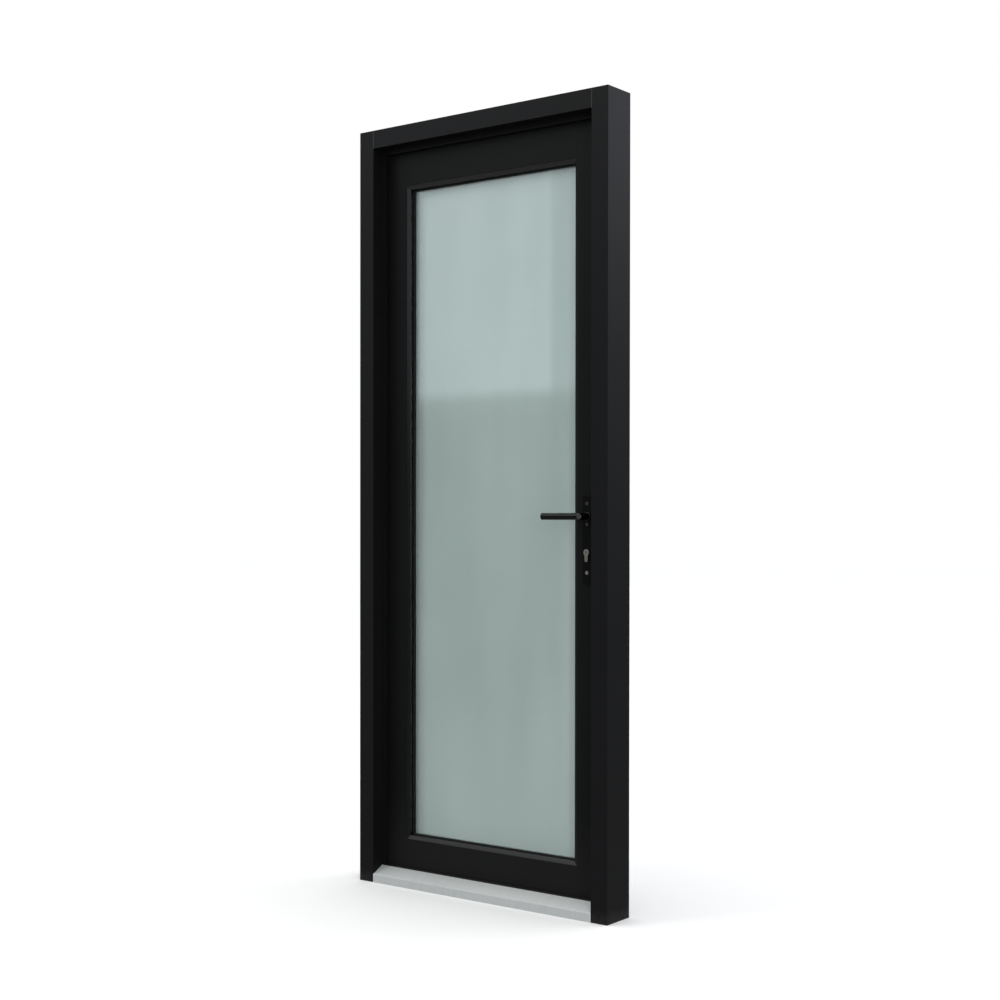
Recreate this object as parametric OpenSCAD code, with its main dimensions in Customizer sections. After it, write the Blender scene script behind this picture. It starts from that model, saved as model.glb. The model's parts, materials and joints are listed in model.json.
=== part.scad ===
// Hinged glass door in its own frame.
// X runs across the frame (hinges at -X), Y from the weather side (-Y) to the room side (+Y), Z up.
// The origin is the centre of the underside of the sill.

/* [Frame] */
// Overall width of the frame
frame_w = 836; // [700:1:1200]
// Overall height of the frame
frame_h = 2100; // [1900:1:2600]
// Depth of the frame from face to face
frame_d = 102; // [98:1:140]
// Face width of each jamb
jamb_face = 50; // [44:1:80]
// Face height of the head
head_face = 50; // [44:1:80]
// Wall of the frame extrusions
frame_wall = 2; // [1.6:0.1:3]
// Depth of the reveal in front of the stop
reveal_d = 38; // [30:1:42]
// Depth of the stop
stop_d = 11; // [10:0.5:14]
// Height of the stop on the jambs
stop_h = 10; // [9:0.5:16]
// Height of the stop on the head
head_stop_h = 14; // [10:0.5:20]

/* [Sill] */
// Height of the sill's front edge
sill_front_h = 23; // [18:0.5:30]
// Height of the sill at its stop
sill_top_h = 42.5; // [36:0.5:50]
// Height of the sill behind its stop
sill_rear_h = 14; // [12:0.5:18]

/* [Leaf] */
// Gap between the leaf and the frame at the sides and top
leaf_gap = 3; // [2.8:0.1:5]
// Gap between the leaf and the sill
sill_gap = 6; // [4:0.5:10]
// Gap between the stops and the leaf, filled by the seals
seal_gap = 3; // [2.5:0.1:4]
// Thickness of the leaf
leaf_d = 45; // [44:1:60]
// Face width of the stiles
stile_face = 75; // [72:1:110]
// Face height of the rails
rail_face = 103; // [80:1:160]
// Wall of the leaf extrusions
leaf_wall = 2; // [1.6:0.1:2.5]

/* [Glazing] */
// Thickness of each pane
pane_t = 5; // [4:0.5:6]
// Width of the space between the panes
air_gap = 10; // [6:0.5:12]
// Clearance around the edge of the panes
pane_edge = 4; // [3:0.5:6]
// Width of the spacer bar
spacer_w = 9; // [6:0.5:10]
// Width of the glazing beads
bead_w = 11; // [8:0.5:16]
// Fall of the bevel across a bead
bead_drop = 5; // [2:0.5:8]
// Wall of the glazing beads
bead_wall = 1.5; // [1.2:0.1:2]
// Width of glazing seal that shows past a bead
seal_show = 4; // [2:0.5:6]
// Thickness of the weather side's glazing seal
outer_seal_t = 5; // [3:0.5:6]
// Thickness of the room side's glazing seal
inner_seal_t = 3; // [2:0.5:5]
// Length of a setting block
block_len = 80; // [50:1:120]

/* [Hinges] */
// Height of a hinge
hinge_h = 100; // [80:1:140]
// Width of a hinge plate
hinge_plate_w = 36; // [30:1:40]
// Thickness of a hinge plate
hinge_plate_t = 3; // [2.5:0.5:4]
// Radius of the hinge knuckles
knuckle_r = 7.5; // [6.5:0.5:9]
// Radius of the hinge pins
pin_r = 4; // [3:0.5:5]
// Distance from the leaf's ends to the outer hinges' centres
hinge_inset = 200; // [150:5:300]

/* [Handle] */
// Height of the lever axis above the base
axis_h = 1024; // [900:1:1150]
// Distance from the leaf's edge to the lever axis
backset = 40; // [36:1:45]
// Distance from the lever axis down to the key axis
key_drop = 92; // [85:1:100]
// Length of a lever from its axis to its tip
lever_len = 114; // [95:1:140]
// Radius of a lever's bar
lever_r = 9; // [7:0.5:10]
// Radius of a lever's neck
neck_r = 9.5; // [8.5:0.5:10.5]
// Distance from the leaf's face to the centre of the bar
lever_out = 46; // [40:1:60]
// Width of a back plate
plate_w = 26; // [25:0.5:34]
// Thickness of a back plate
plate_t = 8; // [7:0.5:12]
// Height of a back plate above the lever axis
plate_up = 54; // [48:1:70]
// Height of a back plate below the lever axis
plate_down = 170; // [160:1:190]
// Side of the square spindle
spindle_s = 8; // [7:0.5:9]

/* [Lock] */
// Thickness of the lock case
case_t = 16; // [15:0.5:20]
// Wall of the lock case
case_wall = 1.5; // [1.2:0.1:2]
// How far the latch stands out of its forend
latch_out = 12; // [10:0.5:14]
// Height of the latch
latch_h = 20; // [16:1:24]
// Thickness of the latch
latch_t = 12; // [10:0.5:12]
// Travel of the deadbolt
bolt_out = 20; // [14:1:24]
// Height of the deadbolt
bolt_h = 24; // [18:1:30]
// Thickness of the deadbolt
bolt_t = 10; // [8:0.5:12]

/* [Hidden] */
$fn = 48;

charcoal = "#26282a";
silver = "#b9bcba";
rubber_black = "#141414";
glass_tint = [0.68, 0.76, 0.75, 0.6];
steel = "#9a9c9e";
brass = "#b5a375";
nylon = "#303030";

// Clearances
fit = 0.2;        // between pieces that are assembled and stay put
running = 0.06;   // radial, around what turns
slack = 0.5;      // around what slides
hair = 0.1;       // half of the line seen at a mitre

// Frame
half_w = frame_w / 2;
front_y = -frame_d / 2;
rear_y = frame_d / 2;
jamb_in = half_w - jamb_face;
head_z = frame_h - head_face;
stop_y = front_y + reveal_d;
seat_y = stop_y + stop_d;

// Seals on the stops
groove_w = 3;
groove_d = 4;
seal_pad_t = 1.3;
seal_bulb_r = 1.9;
cap_t = 1.5;
lip_h = 3;

// Leaf
leaf_y = seat_y + seal_gap;
leaf_back = leaf_y + leaf_d;
leaf_mid = leaf_y + leaf_d / 2;
leaf_x = jamb_in - leaf_gap;
leaf_z0 = sill_rear_h + sill_gap;
leaf_z1 = head_z - leaf_gap;
open_x = leaf_x - stile_face;
open_z0 = leaf_z0 + rail_face;
open_z1 = leaf_z1 - rail_face;
open_h = open_z1 - open_z0;
open_mid_z = (open_z0 + open_z1) / 2;

// Glazing, measured from the opening's edge (u) and from front to rear (y)
flange_t = 2;
glass_back = leaf_back - flange_t - inner_seal_t;
glass_y = glass_back - 2 * pane_t - air_gap;
bead_front_y = leaf_y + 0.5;
bead_back_y = glass_y - outer_seal_t;
flange_w = bead_w + seal_show;
seal_edge = 3;
spacer_edge = pane_edge + 1;

// Cleats
cleat_arm = 60;
frame_cleat_t = 12;
frame_cleat_h = 20;
frame_cleat_leg = 40;
rear_cleat_y = seat_y + 12;
rear_cleat_d = 34;
cleat_x = -jamb_in - frame_wall - fit;
cleat_ys = [[front_y + frame_wall + fit, stop_y - fit], [rear_cleat_y, rear_cleat_y + rear_cleat_d]];
leaf_cleat_t = 20;
leaf_cleat_h = 40;

// Screws
screw_r = 2;
screw_head_r = 4;
screw_head_h = 2;
screw_len = 14;
bolt_r = 2.5;
bolt_head_r = 4.6;
bolt_head_h = 2.6;
screw_hole = 0.1;

// Hinges
pivot_x = -(jamb_in - leaf_gap / 2);
pivot_y = max(rear_y, leaf_back) + knuckle_r + slack;
hinge_zs = [leaf_z0 + hinge_inset, (leaf_z0 + leaf_z1) / 2, leaf_z1 - hinge_inset];
plate_near = knuckle_r + slack;
knuckle_h = (hinge_h - 2 * fit) / 3;
pin_head_h = 3;
hinge_screw_us = [plate_near + hinge_plate_w * 0.27, plate_near + hinge_plate_w * 0.75];
hinge_screw_zs = [-hinge_h / 2 + 12, hinge_h / 2 - 12];

// Lever set and lock, placed from the lever axis
axis_x = leaf_x - backset;
axis_z = axis_h;
key_z = axis_z - key_drop;
plate_face_y = leaf_y - plate_t;
plate_round = 3;
plate_wall = 2.5;
plate_floor = 3;
plate_screw_dz = [33, -20, -144];
boss_r = 4.6;
bush_in_r = 7.5;
bush_out_r = 9.5;
bush_flange_r = 11;
bush_flange_t = 1.2;
stile_hole_r = 10;
lever_y = leaf_y - lever_out;
spindle_in = 20;
grub_y = plate_face_y - 10;

case_y0 = leaf_mid - case_t / 2;
case_y1 = leaf_mid + case_t / 2;
case_x1 = leaf_x - leaf_wall - fit;
case_x0 = axis_x - 22;
case_z0 = key_z - 30;
case_z1 = axis_z + 42;
hub_r = 9;
arm_w = 6;
arm_len = 19;
hook_gap = 0.6;
hook_t = 4;
hook_drop = 7;
tail_z0 = axis_z + arm_len + hook_gap;
tail_h = 8;
tail_t = 8;
latch_z0 = tail_z0 + tail_h / 2 - latch_h / 2;
latch_back = 20;
bolt_held = 25;   // length of deadbolt that stays in the case
bolt_back = bolt_out + bolt_held;
bolt_z0 = axis_z - 60 - bolt_h / 2;
lug_x = axis_x + 3;
lug_t = 2;
spring_r = 2;
spring_wire = 0.35;
spring_turns = 5;
spring_z = tail_z0 + tail_h + 3;

forend_w = 22;
forend_z0 = case_z0 - 18;
forend_z1 = case_z1 + 18;
forend_screw_zs = [forend_z0 + 9, forend_z1 - 9];
block_x = 12;
block_over = 15;

cyl_r = 8.5;
cyl_web = 5;
cyl_web_drop = 19.5;
plug_r = 6.5;
cyl_proud = 3;
cam_t = 10;
cam_reach = 15;
cam_ring_r = 8.4;
cam_bit_w = 8;
cyl_screw_z = key_z - 20;
cyl_y0 = plate_face_y - cyl_proud;
cyl_y1 = 2 * leaf_mid - cyl_y0;

strike_w = 24;
strike_z0 = bolt_z0 - 25;
strike_z1 = latch_z0 + latch_h + 25;
strike_screw_zs = [strike_z0 + 9, strike_z1 - 9];
backing_over = 8;

// ---- Helpers ----

module span(x0, x1, y0, y1, z0, z1) {
    translate([x0, y0, z0]) cube([x1 - x0, y1 - y0, z1 - z0]);
}

// A flat shape drawn in X and Z, between two depths
module along_y(y0, y1) {
    translate([0, y1, 0]) rotate([90, 0, 0]) linear_extrude(y1 - y0) children();
}

// A flat shape drawn in u (away from the member, into the opening) and Y, laid along each side
module on_left(edge, z0, z1) {
    translate([-edge, 0, z0]) linear_extrude(z1 - z0) children();
}
module on_right(edge, z0, z1) {
    mirror([1, 0, 0]) on_left(edge, z0, z1) children();
}
module on_top(z, len) {
    translate([0, 0, z]) rotate([0, 90, 0]) linear_extrude(len, center = true) children();
}
module on_bottom(z, len) {
    translate([0, 0, z]) rotate([0, -90, 0]) linear_extrude(len, center = true) children();
}

module round_rect(w, h, r) {
    square([w - 2 * r, h], center = true);
    square([w, h - 2 * r], center = true);
    for (x = [-1, 1], y = [-1, 1]) translate([x * (w / 2 - r), y * (h / 2 - r)]) circle(r);
}

// The other side of the leaf
module on_room_side() {
    translate([0, 2 * leaf_mid, 0]) mirror([0, 1, 0]) children();
}

// A countersunk screw whose head lies flush at the origin and whose shank runs along -Z
module sunk_screw(r, head_r, head_h, len) {
    translate([0, 0, -head_h]) cylinder(h = head_h, r1 = r, r2 = head_r);
    translate([0, 0, -len]) cylinder(h = len - head_h, r = r);
}
module sunk_hole(r, head_r, head_h, len) {
    translate([0, 0, -head_h]) cylinder(h = head_h, r1 = r + screw_hole, r2 = head_r + screw_hole);
    translate([0, 0, -len]) cylinder(h = len, r = r + screw_hole);
}

// ---- Frame ----

module frame_box_2d(face) {
    difference() {
        translate([-face, front_y]) square([face, frame_d]);
        translate([-face + frame_wall, front_y + frame_wall])
            square([face - 2 * frame_wall, reveal_d - frame_wall]);
        translate([-face + frame_wall, stop_y + frame_wall])
            square([face - 2 * frame_wall, rear_y - stop_y - 2 * frame_wall]);
    }
}

module stop_2d(h) {
    difference() {
        translate([0, stop_y]) square([h, stop_d]);
        translate([0, stop_y + frame_wall])
            square([h - frame_wall, stop_d - groove_d - 2 * frame_wall]);
        translate([(h - groove_w) / 2, seat_y - groove_d]) square([groove_w, groove_d]);
    }
}

module jamb_blank() {
    on_left(jamb_in, 0, frame_h) frame_box_2d(jamb_face);
    on_left(jamb_in, sill_top_h, head_z - head_stop_h) stop_2d(stop_h);
}

// The arms of the cleats, as blocks grown by a clearance, on the left side
module cleat_arms(grow) {
    cleat_arm_span(grow, head_z + (head_face - frame_cleat_h) / 2, frame_cleat_h);
    cleat_arm_span(grow, frame_wall + fit, sill_rear_h - 2 * frame_wall - 2 * fit);
}
module cleat_arm_span(grow, z, h) {
    for (y = cleat_ys)
        span(cleat_x - grow, -jamb_in + cleat_arm, y[0] - grow, y[1] + grow, z - grow, z + h + grow);
}
module cleat_legs() {
    head_arm_z = head_z + (head_face - frame_cleat_h) / 2;
    for (y = cleat_ys) {
        span(cleat_x - frame_cleat_t, cleat_x, y[0], y[1],
             head_arm_z - frame_cleat_leg, head_arm_z + frame_cleat_h);
        span(cleat_x - frame_cleat_t, cleat_x, y[0], y[1],
             frame_wall + fit, sill_rear_h + frame_cleat_leg);
    }
}

module hinge_jamb() {
    color(charcoal) difference() {
        jamb_blank();
        cleat_arms(fit / 2);
        at_hinge_screws(-1) cylinder(h = 2 * screw_len, r = screw_r + screw_hole, center = true);
    }
}

module lock_jamb() {
    color(charcoal) difference() {
        mirror([1, 0, 0]) difference() {
            jamb_blank();
            cleat_arms(fit / 2);
        }
        span(jamb_in - 1, jamb_in + frame_wall + 1,
             leaf_mid - strike_w / 2 - fit, leaf_mid + strike_w / 2 + fit, strike_z0 - fit, strike_z1 + fit);
    }
}

module head() {
    color(charcoal) on_top(head_z, 2 * jamb_in) {
        frame_box_2d(head_face);
        stop_2d(head_stop_h);
    }
}

// Section in u (upwards from the base) and Y
sill_rise = (sill_top_h - sill_front_h) / reveal_d;
sill_skin = frame_wall * sqrt(1 + sill_rise * sill_rise);
module sill_2d() {
    difference() {
        polygon([[0, front_y], [0, rear_y], [sill_rear_h, rear_y], [sill_rear_h, seat_y],
                 [sill_top_h, seat_y], [sill_top_h, stop_y], [sill_front_h, front_y]]);
        polygon([[frame_wall, front_y + frame_wall], [frame_wall, stop_y],
                 [sill_top_h - sill_skin, stop_y],
                 [sill_front_h + sill_rise * frame_wall - sill_skin, front_y + frame_wall]]);
        translate([frame_wall, stop_y + frame_wall])
            square([sill_top_h - groove_d - 2 * frame_wall, stop_d - 2 * frame_wall]);
        translate([frame_wall, seat_y])
            square([sill_rear_h - 2 * frame_wall, rear_y - seat_y - frame_wall]);
        translate([sill_top_h - groove_d, seat_y - (stop_d + groove_w) / 2]) square([groove_d, groove_w]);
    }
}
module sill() {
    color(silver) on_bottom(0, 2 * jamb_in) sill_2d();
}

module frame_cleats() {
    color(silver) for (m = [0, 1]) mirror([m, 0, 0]) {
        cleat_arms(0);
        cleat_legs();
    }
}

// ---- Seals on the stops ----

module stop_seal_2d(h) {
    translate([(h - groove_w) / 2 + fit, seat_y - groove_d + fit])
        square([groove_w - 2 * fit, groove_d]);
    translate([1, seat_y]) square([h - 2, seal_pad_t]);
    intersection() {
        translate([h / 2, seat_y + seal_gap - slack / 2 - seal_bulb_r]) circle(seal_bulb_r);
        translate([0, seat_y]) square([h, seal_gap]);
    }
}
module jamb_seal() {
    color(rubber_black) on_left(jamb_in, sill_top_h + cap_t + fit, head_z - head_stop_h - fit)
        stop_seal_2d(stop_h);
}
module hinge_jamb_seal() jamb_seal();
module lock_jamb_seal() mirror([1, 0, 0]) jamb_seal();
module head_seal() {
    color(rubber_black) on_top(head_z, 2 * (jamb_in - fit)) stop_seal_2d(head_stop_h);
}
module sill_seal() {
    color(rubber_black) on_bottom(sill_top_h, 2 * (jamb_in - stop_h - fit)) {
        translate([-groove_d + fit, seat_y - (stop_d + groove_w) / 2 + fit])
            square([groove_d, groove_w - 2 * fit]);
        translate([0, stop_y + fit]) square([cap_t, stop_d + seal_gap - 3 * fit]);
        translate([cap_t - lip_h, seat_y]) square([lip_h, seal_gap - 2 * fit]);
    }
}

// ---- Strike ----

module lock_pockets(x0, x1) {
    span(x0, x1, leaf_mid - latch_t / 2 - slack, leaf_mid + latch_t / 2 + slack,
         latch_z0 - slack, latch_z0 + latch_h + slack);
    span(x0, x1, leaf_mid - bolt_t / 2 - slack, leaf_mid + bolt_t / 2 + slack,
         bolt_z0 - slack, bolt_z0 + bolt_h + slack);
}
module at_strike_screws() {
    for (z = strike_screw_zs) translate([jamb_in, leaf_mid, z]) rotate([0, -90, 0]) children();
}
module strike_plate() {
    color(steel) difference() {
        span(jamb_in, jamb_in + frame_wall, leaf_mid - strike_w / 2, leaf_mid + strike_w / 2,
             strike_z0, strike_z1);
        lock_pockets(jamb_in - 1, jamb_in + frame_wall + 1);
        at_strike_screws() sunk_hole(screw_r, screw_head_r, screw_head_h, screw_len);
    }
}
module strike_backing() {
    x0 = jamb_in + frame_wall + fit / 4;
    color(steel) difference() {
        span(x0, x0 + frame_wall,
             leaf_mid - strike_w / 2 - backing_over, leaf_mid + strike_w / 2 + backing_over,
             strike_z0 - backing_over, strike_z1 + backing_over);
        lock_pockets(x0 - 1, x0 + frame_wall + 1);
        at_strike_screws() sunk_hole(screw_r, screw_head_r, screw_head_h, screw_len);
    }
}
module strike_screws() {
    color(steel) at_strike_screws() sunk_screw(screw_r, screw_head_r, screw_head_h, screw_len);
}

// ---- Hinges ----

// side -1 is the frame's plate, 1 the leaf's
module at_hinge_screws(side) {
    y = (side < 0 ? rear_y : leaf_back) + hinge_plate_t;
    for (hz = hinge_zs, u = hinge_screw_us, dz = hinge_screw_zs)
        translate([pivot_x + side * u, y, hz + dz]) rotate([-90, 0, 0]) children();
}
module hinge_flag(side, hz) {
    y0 = side < 0 ? rear_y : leaf_back;
    z0 = hz - hinge_h / 2;
    difference() {
        union() {
            translate([pivot_x + (side < 0 ? -plate_near - hinge_plate_w : plate_near), y0, z0])
                cube([hinge_plate_w, hinge_plate_t, hinge_h]);
            for (k = side < 0 ? [0, 2] : [1]) translate([pivot_x, y0, z0 + k * (knuckle_h + fit)]) {
                translate([0, pivot_y - y0, 0]) cylinder(h = knuckle_h, r = knuckle_r);
                translate([side < 0 ? -plate_near - 1 : 0, 0, 0])
                    cube([plate_near + 1, hinge_plate_t, knuckle_h]);
                translate([side < 0 ? -knuckle_r : 0, 0, 0]) cube([knuckle_r, pivot_y - y0, knuckle_h]);
            }
        }
        translate([pivot_x, pivot_y, hz - hinge_h]) cylinder(h = 2 * hinge_h, r = pin_r + running);
        at_hinge_screws(side) sunk_hole(screw_r, screw_head_r, screw_head_h, screw_len);
    }
}
module bottom_hinge_frame_flag() color(charcoal) hinge_flag(-1, hinge_zs[0]);
module middle_hinge_frame_flag() color(charcoal) hinge_flag(-1, hinge_zs[1]);
module top_hinge_frame_flag() color(charcoal) hinge_flag(-1, hinge_zs[2]);
module bottom_hinge_leaf_flag() color(charcoal) hinge_flag(1, hinge_zs[0]);
module middle_hinge_leaf_flag() color(charcoal) hinge_flag(1, hinge_zs[1]);
module top_hinge_leaf_flag() color(charcoal) hinge_flag(1, hinge_zs[2]);
module hinge_pins() {
    color(steel) for (hz = hinge_zs) translate([pivot_x, pivot_y, hz - hinge_h / 2 - 2]) {
        cylinder(h = hinge_h + 2 + pin_head_h, r = pin_r);
        translate([0, 0, hinge_h + 2]) cylinder(h = pin_head_h, r = knuckle_r - slack);
    }
}
module frame_hinge_screws() {
    color(steel) at_hinge_screws(-1) sunk_screw(screw_r, screw_head_r, screw_head_h, screw_len);
}
module leaf_hinge_screws() {
    color(steel) at_hinge_screws(1) sunk_screw(screw_r, screw_head_r, screw_head_h, screw_len);
}

// ---- Leaf ----

module leaf_box_2d(face) {
    difference() {
        translate([-face, leaf_y]) square([face, leaf_d]);
        translate([-face + leaf_wall, leaf_y + leaf_wall])
            square([face - 2 * leaf_wall, leaf_d - 2 * leaf_wall]);
    }
}
module flange_2d() {
    translate([0, leaf_back - flange_t]) square([flange_w, flange_t]);
}
module leaf_cleat_arms(grow) {
    for (z = [(leaf_z0 + open_z0) / 2, (leaf_z1 + open_z1) / 2])
        span(-open_x - leaf_wall - fit - grow, -open_x + cleat_arm,
             leaf_y + leaf_wall + fit - grow, leaf_back - leaf_wall - fit + grow,
             z - leaf_cleat_h / 2 - grow, z + leaf_cleat_h / 2 + grow);
}
module stile_blank() {
    difference() {
        union() {
            on_left(open_x, leaf_z0, leaf_z1) leaf_box_2d(stile_face);
            on_left(open_x, open_z0 + flange_w, open_z1 - flange_w) {
                flange_2d();
                translate([-1, leaf_back - flange_t]) square([1, flange_t]);
            }
        }
        leaf_cleat_arms(fit / 2);
    }
}
module hinge_stile() {
    color(charcoal) difference() {
        stile_blank();
        at_hinge_screws(1) cylinder(h = 2 * screw_len, r = screw_r + screw_hole, center = true);
    }
}
module lock_stile() {
    color(charcoal) difference() {
        mirror([1, 0, 0]) stile_blank();
        span(leaf_x - leaf_wall - 1, leaf_x + 1,
             leaf_mid - forend_w / 2 - fit, leaf_mid + forend_w / 2 + fit, forend_z0 - fit, forend_z1 + fit);
        translate([axis_x, 0, axis_z]) along_y(leaf_y - 1, leaf_back + 1) {
            circle(stile_hole_r);
            for (dz = plate_screw_dz) translate([0, dz]) circle(bolt_r + slack);
            translate([0, -key_drop]) euro_2d(slack);
        }
    }
}
module rail_2d() {
    leaf_box_2d(rail_face);
    flange_2d();
}
module top_rail() color(charcoal) on_top(open_z1, 2 * open_x) rail_2d();
module bottom_rail() color(charcoal) on_bottom(open_z0, 2 * open_x) rail_2d();
module leaf_cleats() {
    color(silver) for (m = [0, 1]) mirror([m, 0, 0]) {
        leaf_cleat_arms(0);
        for (z = [leaf_z0, open_z1])
            span(-open_x - leaf_wall - fit - leaf_cleat_t, -open_x - leaf_wall - fit,
                 leaf_y + leaf_wall + fit, leaf_back - leaf_wall - fit, z + 5, z + rail_face - 5);
    }
}
module bottom_sweep() {
    color(rubber_black) {
        span(-leaf_x + 3, leaf_x - 3, leaf_mid - 10, leaf_mid + 10, leaf_z0 - 2, leaf_z0);
        for (y = [leaf_mid - 7, leaf_mid + 5])
            span(-leaf_x + 3, leaf_x - 3, y, y + 2, sill_rear_h + slack, leaf_z0 - 2);
    }
}

// ---- Glazing ----

// Cuts a bead's ends to a mitre, in u and Z, about its middle
module mitred(len) {
    intersection() {
        linear_extrude(len, center = true) children();
        rotate([90, 0, 0]) linear_extrude(4 * frame_d, center = true)
            polygon([[0, -len / 2 + hair], [bead_w, -len / 2 + bead_w + hair],
                     [bead_w, len / 2 - bead_w - hair], [0, len / 2 - hair]]);
    }
}
module bead_2d() {
    difference() {
        polygon([[0, bead_front_y], [bead_w, bead_front_y + bead_drop],
                 [bead_w, bead_back_y], [0, bead_back_y]]);
        polygon([[bead_wall, bead_front_y + 2 * bead_wall],
                 [bead_w - bead_wall, bead_front_y + bead_drop + 1.5 * bead_wall],
                 [bead_w - bead_wall, bead_back_y - bead_wall], [bead_wall, bead_back_y - bead_wall]]);
    }
}
module side_bead() {
    color(charcoal) translate([-open_x, 0, open_mid_z]) mitred(open_h) bead_2d();
}
module hinge_side_bead() side_bead();
module lock_side_bead() mirror([1, 0, 0]) side_bead();
module top_bead() {
    color(charcoal) translate([0, 0, open_z1]) rotate([0, 90, 0]) mitred(2 * open_x) bead_2d();
}
module bottom_bead() {
    color(charcoal) translate([0, 0, open_z0]) rotate([0, -90, 0]) mitred(2 * open_x) bead_2d();
}

// A block inside the opening, a distance in from its edge
module in_opening(inset, y0, y1) {
    span(-open_x + inset, open_x - inset, y0, y1, open_z0 + inset, open_z1 - inset);
}
module ring(inset, width, y0, y1) {
    difference() {
        in_opening(inset, y0, y1);
        in_opening(inset + width, y0 - 1, y1 + 1);
    }
}
module outer_pane() color(glass_tint) in_opening(pane_edge, glass_y, glass_y + pane_t);
module inner_pane() color(glass_tint) in_opening(pane_edge, glass_back - pane_t, glass_back);
module spacer_frame() color(silver) ring(spacer_edge, spacer_w, glass_y + pane_t, glass_back - pane_t);
module outer_glazing_seal() {
    color(rubber_black) ring(seal_edge, flange_w - seal_edge, bead_back_y, glass_y);
}
module inner_glazing_seal() {
    color(rubber_black) ring(seal_edge, flange_w - seal_edge, glass_back, leaf_back - flange_t);
}
module setting_blocks() {
    color(nylon) for (x = [-open_x / 2, open_x / 2])
        span(x - block_len / 2, x + block_len / 2, glass_y, glass_back, open_z0, open_z0 + pane_edge);
}

// ---- Lock ----

module euro_2d(grow) {
    circle(cyl_r + grow);
    translate([-cyl_web - grow, -cyl_web_drop]) square([2 * (cyl_web + grow), cyl_web_drop]);
    translate([0, -cyl_web_drop]) circle(cyl_web + grow);
}
module lock_holes(y0, y1) {
    translate([axis_x, 0, axis_z]) along_y(y0, y1) {
        circle(hub_r + running);
        for (dz = [plate_screw_dz[0], plate_screw_dz[1]]) translate([0, dz]) circle(bolt_r + slack / 2);
        translate([0, -key_drop]) euro_2d(slack / 2);
    }
}
module cylinder_screw_shape(grow) {
    translate([leaf_x, leaf_mid, cyl_screw_z]) rotate([0, 90, 0]) {
        translate([0, 0, -leaf_wall]) cylinder(h = leaf_wall, r1 = bolt_r + grow, r2 = bolt_head_r + grow);
        translate([0, 0, -backset - cyl_web]) cylinder(h = backset + cyl_web - leaf_wall, r = bolt_r + grow);
    }
}
module lock_case() {
    color(steel) difference() {
        union() {
            difference() {
                span(case_x0, case_x1, case_y0, case_y1 - case_wall, case_z0, case_z1);
                span(case_x0 + case_wall, case_x1 - case_wall, case_y0 + case_wall, case_y1,
                     case_z0 + case_wall, case_z1 - case_wall);
            }
            span(lug_x, lug_x + lug_t, case_y0 + case_wall / 2, leaf_mid + 3,
                 tail_z0 + tail_h + fit, case_z1 - case_wall / 2);
        }
        lock_holes(case_y0 - 1, case_y1 + 1);
        lock_pockets(case_x1 - case_wall - 1, case_x1 + 1);
        cylinder_screw_shape(screw_hole);
    }
}
module lock_cover() {
    color(steel) difference() {
        span(case_x0, case_x1, case_y1 - case_wall, case_y1, case_z0, case_z1);
        lock_holes(case_y0 - 1, case_y1 + 1);
    }
}
module at_forend_screws() {
    for (z = forend_screw_zs) translate([leaf_x, leaf_mid, z]) rotate([0, 90, 0]) children();
}
module forend() {
    color(steel) difference() {
        span(leaf_x - leaf_wall, leaf_x, leaf_mid - forend_w / 2, leaf_mid + forend_w / 2,
             forend_z0, forend_z1);
        lock_pockets(leaf_x - leaf_wall - 1, leaf_x + 1);
        cylinder_screw_shape(screw_hole);
        at_forend_screws() sunk_hole(screw_r, screw_head_r, leaf_wall, screw_len);
    }
}
module forend_blocks() {
    color(silver) difference() {
        for (z = [[forend_z0 - block_over, case_z0 - fit], [case_z1 + fit, forend_z1 + block_over]])
            span(case_x1 - block_x, case_x1,
                 leaf_y + leaf_wall + fit, leaf_back - leaf_wall - fit, z[0], z[1]);
        at_forend_screws() cylinder(h = 4 * screw_len, r = screw_r + screw_hole, center = true);
    }
}
module forend_screws() {
    color(steel) at_forend_screws() sunk_screw(screw_r, screw_head_r, leaf_wall, screw_len);
}

module latch_bolt() {
    nose_x = leaf_x + latch_out;
    tail_x = axis_x - arm_w / 2 - hook_gap - hook_t;
    head_x = leaf_x - latch_back;
    color(steel) {
        difference() {
            span(head_x, nose_x, leaf_mid - latch_t / 2, leaf_mid + latch_t / 2,
                 latch_z0, latch_z0 + latch_h);
            translate([0, 0, latch_z0 - 1]) linear_extrude(latch_h + 2)
                polygon([[leaf_x + 1, leaf_mid - latch_t / 2 - 1], [nose_x + 1, leaf_mid - latch_t / 2 - 1],
                         [nose_x + 1, leaf_mid + latch_t / 2 - 1]]);
        }
        span(tail_x, head_x + 1, leaf_mid - tail_t / 2, leaf_mid + tail_t / 2, tail_z0, tail_z0 + tail_h);
        span(tail_x, tail_x + hook_t, leaf_mid - tail_t / 2, leaf_mid + tail_t / 2,
             tail_z0 - hook_drop, tail_z0 + 1);
    }
}

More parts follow.
